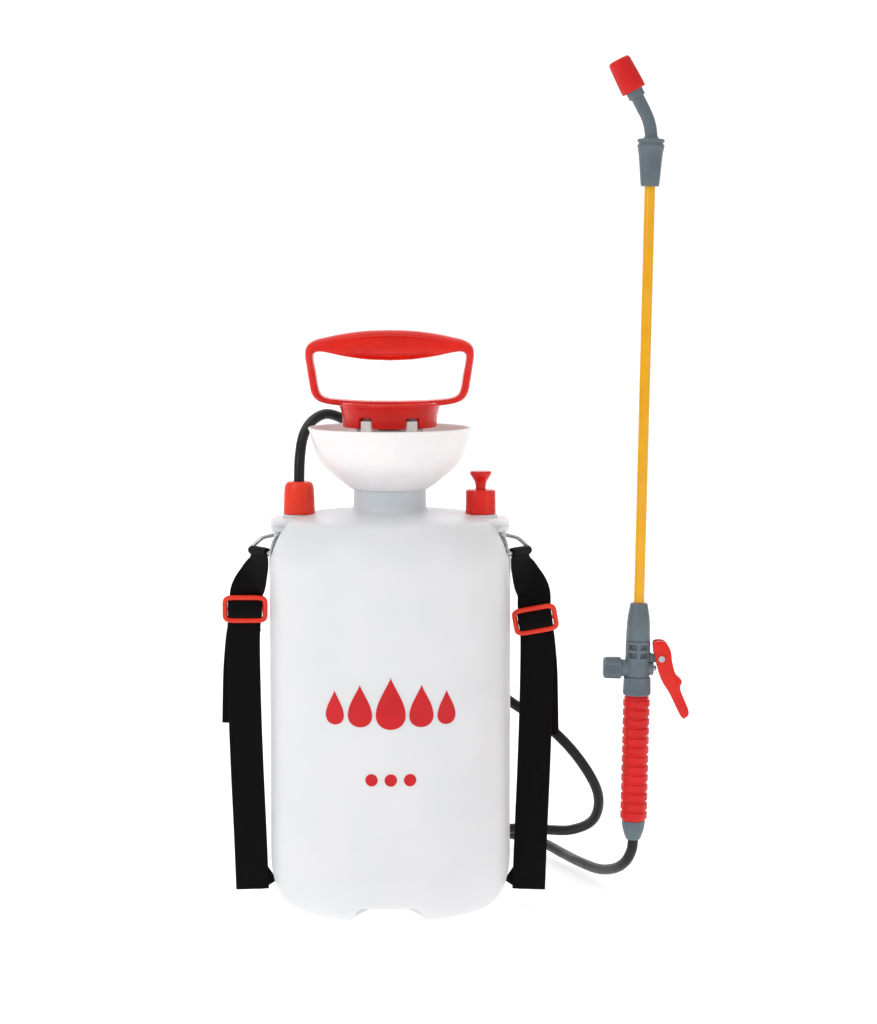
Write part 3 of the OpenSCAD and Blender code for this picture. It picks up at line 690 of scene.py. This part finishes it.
settle(lathe("relief_knob_red", knob_outline, 72, place=right_port), "relief", abs_red, "relief_knob")
print("tank, funnel, pump head and ports made")

# %% [markdown]
# ## The wand
# The wand leans a degree. Everything on it is drawn in its own frame, where Z runs up the wand and
# X points to the trigger's side, then placed by one matrix taken from the model's joints.

# %% Wand frame, hose nut and grip
elbow_joint, nozzle_joint = joints["elbow_turn"], joints["nozzle_twist"]
up_wand = Vector(elbow_joint["axis"]).normalized()
HOSE_NUT_TO_ELBOW = 0.512
WAND = turn_to(up_wand, Vector(elbow_joint["pos_m"]) - HOSE_NUT_TO_ELBOW * up_wand)
NOZZLE = turn_to(nozzle_joint["axis"], nozzle_joint["pos_m"])

nut_outline = [[4.35, 0.3], [5.2, 0], [6.6, 3.4], [8.3, 8.6], [8.9, 14.8], [6.1, 15], [6.1, 6], [4.35, 6]]
nut_outline = soften(nut_outline, [0.3, 1.5, 3, 3, 0.5, 0.2, 0.2, 0.2])
settle(lathe("hose_nut_grey", nut_outline, 96, place=WAND), "wand", nylon_grey, "hose_nut")
# Thirteen rings over 93 mm of grip, the first one 3.15 mm above the lower collar at 16 mm.
GRIP_R, PITCH = 10.0, 93 / 13
h = np.arange(15.0, 111.01, 0.3)
wave = np.cos(2 * np.pi * (h - 16 - 3.15) / PITCH)
ripple = GRIP_R + 0.15 - 1.0 * np.clip((-wave - 0.35) / 0.5, 0, 1)
ripple = np.where((h < 16.2) | (h > 109.6), GRIP_R - 1.2, ripple)
grip_profile = np.vstack([[[6.6, 15]], np.stack([ripple, h], 1), [[6.6, 111.0]]])
settle(lathe("grip_red", grip_profile, 96, place=WAND, crease=60), "wand", nylon_red, "grip")

# %% [markdown]
# ## Trigger valve
# The body is a vertical barrel with a cross barrel through it. Between the two, ribs stand on the
# barrel and leave dark slots, so the slots are cut where the radius drops between ribs.

# %% Collar nut, valve body and side cap
def ribbed(count, depth, low, high, start=0.0):
    """Vertical finger ribs: the radius drops by depth between count ribs, from low to high."""
    def shape(r, z, a):
        wave = 0.5 - 0.5 * np.cos(count * (a - np.radians(start)))
        fade = np.clip(np.minimum(z - low, high - z) / 0.9, 0, 1) * (r > r.max() * 0.8)
        return r - depth * fade * np.clip(wave * 1.7 - 0.35, 0, 1), z
    return shape


grip_nut_outline = [[7.1, 111], [10.2, 111.1], [10.5, 112.5], [10.1, 124.9], [7.1, 124.9]]
grip_nut_outline = soften(grip_nut_outline, [0.2, 0.6, 0.8, 1, 0.2])
grip_nut = lathe("grip_nut_grey", grip_nut_outline, 144, ribbed(18, 0.7, 112.6, 123.8), WAND)
settle(grip_nut, "wand", nylon_grey, "grip_nut")
# Heights up the wand of the cross barrel's axis and of the trigger's pin, and how far out the pin is.
VALVE_U, PIN_U, PIN_X, BARREL_R = 131.4, 139.6, 17.5, 9.3


def slotted(r, z, a):
    """Two rows of slots in front and two behind, either side of the middle rib."""
    side = abs((a + np.pi / 2) % np.pi)
    side = np.minimum(side, np.pi - side) * BARREL_R
    across = np.clip((side - 1.5) / 0.4, 0, 1) * np.clip((8.6 - side) / 0.4, 0, 1)
    rows = sum(np.clip((1.95 - abs(z - mid)) / 0.4, 0, 1) for mid in (141.6, 147.9))
    return r - 2.6 * across * rows * (r > 8.5), z


barrel_outline = np.vstack([
    [[3, 111], [7, 111], [7, 125], [9.1, 125.1]],
    np.stack([np.full(70, BARREL_R), np.linspace(126, 151.4, 70)], 1),
    [[9.0, 152.2], [6.9, 152.2], [6.9, 166], [3, 166]],
])
barrel = lathe("valve_barrel", soften(barrel_outline, 0.25, 2), 168, slotted, WAND)
ACROSS = WAND @ Matrix.Translation((0, 0, VALVE_U * MM)) @ Matrix.Rotation(np.pi / 2, 4, "Y")
left_boss = lathe("boss_left", soften([[5, -14], [6.5, -14], [6.5, 0], [5, 0]], 0.5), 64, place=ACROSS)
right_boss = lathe("boss_right", soften([[2.25, 6], [5.2, 6], [5.2, 12], [2.25, 12]], 0.4), 64, place=ACROSS)
a = np.linspace(-0.6, np.pi * 0.86, 26)
round_pin = np.stack([PIN_X + 5 * np.cos(a), PIN_U + 5 * np.sin(a)], 1)
ear_outline = np.vstack([[[6, PIN_U - 2.6], [13, PIN_U - 3.4]], round_pin, [[6, PIN_U + 5.2]]])
ear = slab("ear", ear_outline, 2.95, 0.5, WAND)
settle(join("valve_grey", [barrel, left_boss, right_boss, ear]), "wand", nylon_grey, "valve_body")
side_cap_outline = [
    [5.2, -12.3], [8.2, -12.3], [8.3, -14], [8.1, -24.6], [7.2, -25.9], [0.01, -25.9], [0.01, -20],
    [5.2, -20],
]
side_cap_outline = soften(side_cap_outline, [0.2, 0.5, 0.5, 1.2, 1, 0, 0, 0.2])


def boxy(r, z, a):
    """A rounded square with ribs along it: r times (cos^8 + sin^8)^(-1/8), held to the cap's size."""
    square = (np.cos(a) ** 8 + np.sin(a) ** 8) ** (-1 / 8)
    rib = 0.35 * np.clip(np.cos(24 * a) * 2, -1, 1) * np.clip(np.minimum(-12.8 - z, z + 24.8) / 0.6, 0, 1)
    return np.where(r > 6, r * np.minimum(square * 0.9, 1.04) + rib * 0.8, r), z


settle(lathe("side_cap_grey", side_cap_outline, 192, boxy, ACROSS), "wand", nylon_grey, "side_cap")

# %% [markdown]
# ## The trigger
# A curved lever cut from one outline, hinged on a pin through the valve's ear. Its top is a fork: a
# slot runs up the middle, and the ear stands in it.

# %% Trigger
trigger_outline = [
    [11.6, 151.5], [16, 153], [20.8, 151.6], [24.4, 145.5], [25.8, 137], [28.6, 128], [33.3, 123],
    [32.4, 116.5], [39, 100.5], [37.2, 95.4], [33.4, 95.8], [25, 112], [17.9, 123.6], [13.9, 136.4],
    [12, 144],
]
trigger_outline = smooth_path(trigger_outline, 7, True)


def fork(outline, half, slot_half, slot_low):
    """The lever in three layers: two cheeks over the whole outline, and a middle only below slot_low.
    The middle's points above slot_low fall onto it, so the ones that land together are left out."""
    layer = (half - slot_half) / 2
    cheeks = [slab(f"cheek{s}", outline, layer, 1.0, WAND, centre=s * (slot_half + layer)) for s in sides]
    x, z = outline.T
    web = np.stack([np.where(z > slot_low, np.clip(x, 15, 26), x), np.minimum(z, slot_low)], 1)
    web = web[np.linalg.norm(web - np.roll(web, 1, 0), axis=1) > 0.02]
    return cheeks + [slab("web", web, slot_half + 0.6, 0.2, WAND)]


settle(join("trigger_red", fork(trigger_outline, 7.0, 3.3, 133.5)), "trigger", abs_red, "trigger")

# %% [markdown]
# ## The lance
# A yellow tube between two faceted nuts, then an elbow that turns the nozzle upwards and outwards.

# %% Lance, nuts, elbow and nozzle
lower = [[4.2, 152.5], [9.2, 152.5], [9.3, 154], [9.0, 161], [8.4, 170], [7.2, 177], [6.4, 181], [4.2, 181]]
lower = soften(lower, [0.2, 0.6, 0.5, 2, 2, 2, 0.8, 0.2])
lower_nut = lathe("lance_nut_lower_grey", lower, 144, flats(10, 17.6, 152.8, 169, 0), WAND, crease=24)
settle(lower_nut, "wand", nylon_grey, "lance_nut_lower")
tube_profile = soften([[3.0, 158.2], [4.0, 158.2], [4.0, 521.8], [3.0, 521.8]], 0.2)
settle(lathe("lance_yellow", tube_profile, 72, place=WAND), "wand", tube_yellow, "lance_tube")
TIP_U = 492.0
upper = np.array([
    [4.2, 0.1], [6.8, 0], [7.3, 4], [8.6, 20], [10, 28.9], [10.2, 30.4], [9.2, 31], [9.2, 32.2],
    [10.2, 32.8], [10.2, 34], [9.3, 35], [5.2, 35],
]) + [0, TIP_U]
upper = soften(upper, [0.1, 0.6, 2, 3, 1, 0.5, 0.4, 0.4, 0.4, 0.5, 0.5, 0.1])
upper_flats = flats(10, 17.4, TIP_U + 5, TIP_U + 28, 0)
upper_nut = lathe("lance_nut_upper_grey", upper, 144, upper_flats, WAND, crease=24)
settle(upper_nut, "wand", nylon_grey, "lance_nut_upper")
print("wand made; nozzle at", [round(v, 4) for v in NOZZLE.translation])

# %% Elbow and nozzle
ELBOW_U, BEND_R, BEND = 527.0, 40.0, np.radians(28.5)
bend = np.linspace(0, BEND, 16)
elbow_line = np.stack([-BEND_R * (1 - np.cos(bend)), 0 * bend, ELBOW_U + BEND_R * np.sin(bend)], 1)
out = np.array([-np.sin(BEND), 0, np.cos(BEND)])
elbow_line = np.vstack([[0, 0, ELBOW_U - 2], elbow_line, elbow_line[-1] + out * 3])
socket = np.array([[3, -15], [6, -15], [6, -0.3], [4.9, 2.2], [3, 2.2]]) + [0, ELBOW_U]
socket = lathe("elbow_socket", soften(socket, [0.1, 0.5, 1.5, 1.2, 0.1]), 64, place=WAND)
bent = tube("elbow_bend", elbow_line, 4.75, 48, place=WAND)
spigot = [[3.05, 0.6], [4.9, 0.6], [4.9, 12.4], [6.4, 12.6], [6.5, 34], [3.05, 34]]
spigot = lathe("elbow_tail", soften(spigot, [0.1, 0.2, 0.6, 0.6, 0.6, 0.2]), 64, place=NOZZLE)
settle(join("elbow_grey", [socket, bent, spigot]), "elbow", nylon_grey, "elbow")
cap_outline = [
    [6.62, 18], [9.3, 18], [9.5, 20.5], [9.1, 30], [8.6, 42], [7.3, 43.7], [0.85, 43.7], [0.85, 41],
    [4, 41], [4, 36], [6.62, 36],
]
cap_outline = soften(cap_outline, [0.1, 0.7, 1, 1, 1, 1, 0.2, 0.1, 0.1, 0.1, 0.1])
cap = lathe("nozzle_cap_red", cap_outline, 240, ribbed(24, 0.45, 21, 41), NOZZLE)
settle(cap, "nozzle", nylon_red, "nozzle_cap")

# %% [markdown]
# ## Straps, sliders and wire links
# Each strap is one length of webbing. From a fold at the foot it runs up behind the slider's bars to
# the link, turns over the link's outer bar, and comes back through the slider as a loose tail. The
# webbing is a flat rounded band swept along that line, and its map is the distance along and across.

# %% Link wire
LINK_TURN, POST_Z, REACH, DROP = np.radians(-37), 276.0, 16.0, 10.5
half_link = np.array([
    [-4.6, 1.4, 0], [-3.3, 3.9, 0], [1, 5.4, 0], [8, 8.6, -2], [13, 12.6, -7.5], [REACH, 13.4, -DROP],
    [REACH, 5, -DROP],
])
link_loop = smooth_path(np.vstack([half_link, half_link[::-1] * [1, -1, 1]]), 8, True)


def link_place(points):
    """Link frame to the sprayer's right side: turned about Z, moved to the post."""
    c, s = np.cos(LINK_TURN), np.sin(LINK_TURN)
    x, y, z = np.moveaxis(np.asarray(points, float), -1, 0)
    return np.stack([c * x - s * y + POST_X, s * x + c * y, z + POST_Z], -1)


MIRROR = Matrix.Scale(-1, 4, (1, 0, 0))
for side, turn_over in (("left", MIRROR), ("right", None)):
    wire = tube(f"link_wire_{side}", link_place(link_loop), 1.5, 20, place=turn_over, loop=True)
    settle(wire, "tank", steel_wire, f"strap_ring_{side}")

# %% Webbing
STRAP_W, STRAP_T = 25.0, 1.6


def arc_points(middle, radius, start, stop, count):
    """Points of an arc in the (outwards, up) plane, angles in degrees."""
    a = np.radians(np.linspace(start, stop, count))
    return np.stack([middle[0] + radius * np.cos(a), middle[1] + radius * np.sin(a)], 1)


def band(points, turns, widths, place, name, flat_to=None):
    """A band swept along points in mm. Each row's section is a flat superellipse across the direction
    (cos turn, sin turn, 0), so the band may twist; its map is (across, along) in mm."""
    t = unit(np.gradient(points, axis=0))
    across = np.stack([np.cos(turns), np.sin(turns), 0 * turns], -1)
    if flat_to is not None:
        across = np.array(flat_to) + 0 * across
    across = unit(across - (across * t).sum(-1, keepdims=True) * t)
    out = np.cross(t, across)
    a = np.linspace(0, 2 * np.pi, 36, endpoint=False)
    u, v = rounded(np.cos(a), 0.5), rounded(np.sin(a), 0.7)
    along = np.concatenate([[0], np.cumsum(np.linalg.norm(np.diff(points, axis=0), axis=1))])
    sideways = across[:, None] * (u[None] * widths[:, None] / 2)[..., None]
    grid = points[:, None] + sideways + out[:, None] * (v * STRAP_T / 2)[None, :, None]
    grid[..., 2] = np.maximum(grid[..., 2], 5.4)
    uv = np.stack([u[None] * STRAP_W / 2 + 0 * along[:, None], along[:, None] + 0 * u[None]], -1)
    return skin(name, grid, place=place, crease=50, uv=uv), along[-1]


# Rows are x, y, z and the turn of the webbing's width in degrees, for the right strap.
RUN = np.array([
    [105, 0, 6, 0], [106.5, 0, 50, 0], [108.5, 0, 100, 0], [110, 0, 150, 0], [110.5, 0, 200, 0],
    [108.5, 0, 221, 0], [107.9, -0.1, 233.5, 1.5], [102.6, -4.4, 245, 30], [98.3, -8.4, 255, 48],
    [97.3, -9.6, 263.4, 53],
])
TAIL = np.array([[109.6, 1.9, 208, 0], [111.2, 2.3, 201, 0], [112.5, 3.2, 190, 0], [114, 4.0, 170, 0]])
FOOT = np.array([[112, 2.4, 5.0, 0], [104, 2.5, 9.5, 0], [96.5, 2.6, 14.6, 0], [90.6, 2.6, 18.6, 0]])
# Along the slider and out from its plane: the webbing goes over the middle bar.
OVER = [[-7, -1.6], [-6, -3.4], [-4, -5.3], [0, -5.9], [4, -5.3], [6, -3.4], [7, -1.6]]
OVER = smooth_path(OVER, 5)
SLEEVE_W, FOOT_W, OVER_W = 23.0, 15.0, 25.6
bar_middle, bar_outside = link_place([[REACH, 0, -DROP], [REACH + 1, 0, -DROP]])
turns_round = arc_points((0, 0), 2.75, -110, 190, 24)
sleeve_line = bar_middle + turns_round[:, :1] * (bar_outside - bar_middle) + turns_round[:, 1:] * [0, 0, 1.0]


def strap(side, mirror, slider_z, lean, tail_end):
    """One strap in five stretches: run, sleeve round the link, tail, foot, and front, which goes over the
    slider's bar."""
    run, foot = smooth_path(RUN, 10), smooth_path(FOOT, 6)
    tail = smooth_path([*TAIL, [115, 4.5, tail_end, 0]], 12)
    slope = np.array([np.sin(lean), 0, np.cos(lean)])
    over = np.array([109, 0, slider_z]) + OVER[:, :1] * slope + OVER[:, 1:] * [0, 1.0, 0]
    stretches = {
        "run": (run[:, :3], run[:, 3], STRAP_W - 2 * np.clip((run[:, 2] - 250) / 12, 0, 1), None),
        "sleeve": (sleeve_line, 53.0, SLEEVE_W, None),
        "tail": (tail[:, :3], tail[:, 3], STRAP_W, None),
        "foot": (foot[:, :3], 0.0, FOOT_W, (0.56, 0, -0.83)),
        "front": (over, 0.0, OVER_W, (np.cos(lean), 0, -np.sin(lean))),
    }
    made = []
    for part, (line, turn, width, flat_to) in stretches.items():
        turns, widths = np.radians(turn) + 0 * line[:, 0], width + 0 * line[:, 0]
        piece, length = band(line, turns, widths, mirror, f"{part}_{side}", flat_to)
        made.append(piece)
        print(f"strap_{side}: {part} {length:.0f} mm")
    return join(f"webbing_{side}", made)


# Side, mirror, the slider's x, height and lean, and the height where the tail ends.
HANGS = (("left", MIRROR, 109, 221, 0, 133.0), ("right", None, 109.2, 213, -10, 124.0))
for side, mirror, slider_x, slider_z, lean, tail_end in HANGS:
    settle(strap(side, mirror, slider_z, np.radians(lean), tail_end), "tank", woven, f"strap_{side}")


# %% Sliders
def slider(name, x, z, lean, place):
    """A three-bar slider: a rounded frame outside the webbing's edges, and a middle bar. The frame's
    section is a superellipse, 3.8 by 4.2 mm, swept round a rounded rectangle: cos and sin to the power
    0.3, times 15.1 across and 8.6 up."""
    t = np.linspace(0, 2 * np.pi, 96, endpoint=False)
    middle = np.stack([15.1 * rounded(np.cos(t), 0.3), 8.6 * rounded(np.sin(t), 0.3)], 1)
    outwards = outline_normals(middle)[:, None] * (1.9 * sx)[None, :, None]
    y = -2.6 + 2.1 * sy[None] + 0 * t[:, None]
    grid = np.stack([middle[:, None, 0] + outwards[..., 0], y, middle[:, None, 1] + outwards[..., 1]], -1)
    frame_part = skin("slider_frame", grid, wrap_rows=True, crease=60)
    bar_outline = soften([[-14, -1.4], [14, -1.4], [14, 1.4], [-14, 1.4]], 0.8)
    bar_part = slab("slider_bar", bar_outline, 1.2, 0.6, centre=-3.2)
    made = join(name, [frame_part, bar_part])
    turn = Matrix.Translation((x * MM, 0, z * MM)) @ Matrix.Rotation(np.radians(lean), 4, "Y")
    made.data.transform(place @ turn if place else turn)
    if place:
        made.data.flip_normals()
    return made


for side, mirror, slider_x, slider_z, lean, tail_end in HANGS:
    made = slider(f"slider_red_{side}", slider_x, slider_z, lean, mirror)
    settle(made, "tank", pp_orange_red, f"slider_{side}")

# %% [markdown]
# ## Print on the tank
# A row of drops over three dots, screen printed in red. They are drawn flat and thin, then wrapped:
# the distance across becomes an angle round the tank, and the thickness becomes radius.

# %% Print
def wrap(points):
    """(x, thickness, z) flat to the tank's front: the angle is x / R, and R grows by the thickness."""
    x, y, z = np.moveaxis(np.asarray(points, float), -1, 0)
    r = TANK_R + 0.12 + y
    return np.stack([r * np.sin(x / TANK_R), -r * np.cos(x / TANK_R), z], -1)


def drop(name, x, z, width, height, point=1.6, swell=1.25):
    """A drop: its outline is (swell sin t sin(t/2)^point, cos t), drawn as rings from the middle out and
    back. With point 0 and swell 1 it is a disc."""
    t = np.linspace(0, 2 * np.pi, 96, endpoint=False)
    outline = np.stack([width / 2 * np.sin(t) * np.sin(t / 2) ** point * swell, height / 2 * np.cos(t)], 1)
    size = np.concatenate([np.linspace(0.01, 1, 12), np.linspace(1, 0.01, 12)])[:, None]
    lift = np.concatenate([np.full(11, 0.1), [0.08, -0.1], np.full(11, -0.1)])[:, None]
    across, up = size * outline[None, :, 0], size * outline[None, :, 1]
    return skin(name, wrap(np.stack([x + across, lift + 0 * across, z + up], -1)), crease=60)


dots = [drop(f"dot{k}", x, 108, 9, 9, 0, 1) for k, x in enumerate((-12, 2, 16))]
drop_row = [
    (-40, 160, 17, 25), (-20.5, 162, 21, 31), (2, 164, 25, 38), (24.5, 162, 21, 31), (44, 160, 17, 25),
]
drops = [drop(f"drop{k}", *place_and_size) for k, place_and_size in enumerate(drop_row)]
print_ink = moulded("screen_print_ink_red", "D2121C", "C60F18", (0.4, 0.5), 2.0, 0.02)
settle(join("print_mark", [*dots, *drops]), "tank", print_ink)

# %% [markdown]
# ## Slots that stay as the CAD has them
# Seals, springs and the pump's inner parts keep their exact shapes and only get a finish.

# %% Finishes for the frame's own nodes
FINISH = {
    "tank_plastic": tank_plastic, "funnel_plastic": pp_warm_white, "white_plastic": pp_white,
    "red_plastic": abs_red, "orange_plastic": pp_orange_red, "grip_plastic": nylon_red,
    "grey_plastic": nylon_grey, "lance_plastic": tube_yellow, "hose_rubber": hose_pvc,
    "seal_rubber": nitrile, "webbing": nitrile, "steel": steel_wire, "brass": brass,
}
slot_of = {part["node"]: part["material_slot"] for part in frame["record"]["subparts"]}
for node_name, node in nodes.items():
    node.data.materials.clear()
    node.data.materials.append(FINISH[slot_of[node_name]])
print("finishes given to", len(nodes), "nodes")

# %% [markdown]
# ## Floor and light
# A white sweep and big soft lamps: the sprayer stands in even light with a faint shadow under it.

# %% Floor and lamps
depth_line = np.array([[-2400, 0], [1500, 0], [2300, 60], [2900, 420], [3150, 1100], [3200, 3200]], float)
curve = smooth_path(depth_line, 12)
width = np.linspace(-4200, 4200, 12)
back, lift = curve[:, :1] + 0 * width[None], curve[:, 1:] + 0 * width[None]
sweep_grid = np.stack([width[None] + 0 * back, back, lift], -1)
mesh = bpy.data.meshes.new("sweep")
mesh.from_pydata((sweep_grid.reshape(-1, 3) * MM - [0, 0, 0.0002]).tolist(), [],
                 grid_faces(*sweep_grid.shape[:2], False, False).tolist())
mesh.shade_smooth()
sweep = bpy.data.objects.new("sweep", mesh)
bpy.context.scene.collection.objects.link(sweep)
paper, tree, shader = blank("backdrop_paper")
shader.inputs["Base Color"].default_value = rgb("F7F7F7")
shader.inputs["Emission Color"].default_value = rgb("FFFFFF")
shader.inputs["Emission Strength"].default_value = 0.42
tree.links.new(span(tree, grain(tree, 3, 2), 0.85, 0.95), shader.inputs["Roughness"])
sweep.data.materials.append(paper)


def lamp(name, position, target, size, power):
    """A rectangular soft lamp that faces its target."""
    data = bpy.data.lights.new(name, "AREA")
    data.shape, data.size, data.size_y, data.energy = "RECTANGLE", size[0], size[1], power
    made = bpy.data.objects.new(name, data)
    made.location = position
    made.rotation_euler = (Vector(target) - Vector(position)).to_track_quat("-Z", "Y").to_euler()
    bpy.context.scene.collection.objects.link(made)


lamp("key_left", (-1.5, -1.5, 1.5), (0, 0, 0.25), (1.3, 1.6), 15)
lamp("fill_right", (1.8, -1.2, 1.0), (0, 0, 0.25), (1.2, 1.6), 5)
lamp("top", (0, 0.2, 2.2), (0, 0, 0.2), (1.8, 1.8), 9)
lamp("back", (0.0, 2.2, 1.6), (0, 0.0, 0.3), (2.6, 1.6), 9)
world = bpy.data.worlds.new("white_room")
bpy.context.scene.world = world
world.use_nodes = True
world.node_tree.nodes["Background"].inputs["Color"].default_value = rgb("FFFFFF")
world.node_tree.nodes["Background"].inputs["Strength"].default_value = 0.52
bpy.context.scene.view_settings.view_transform = "Standard"
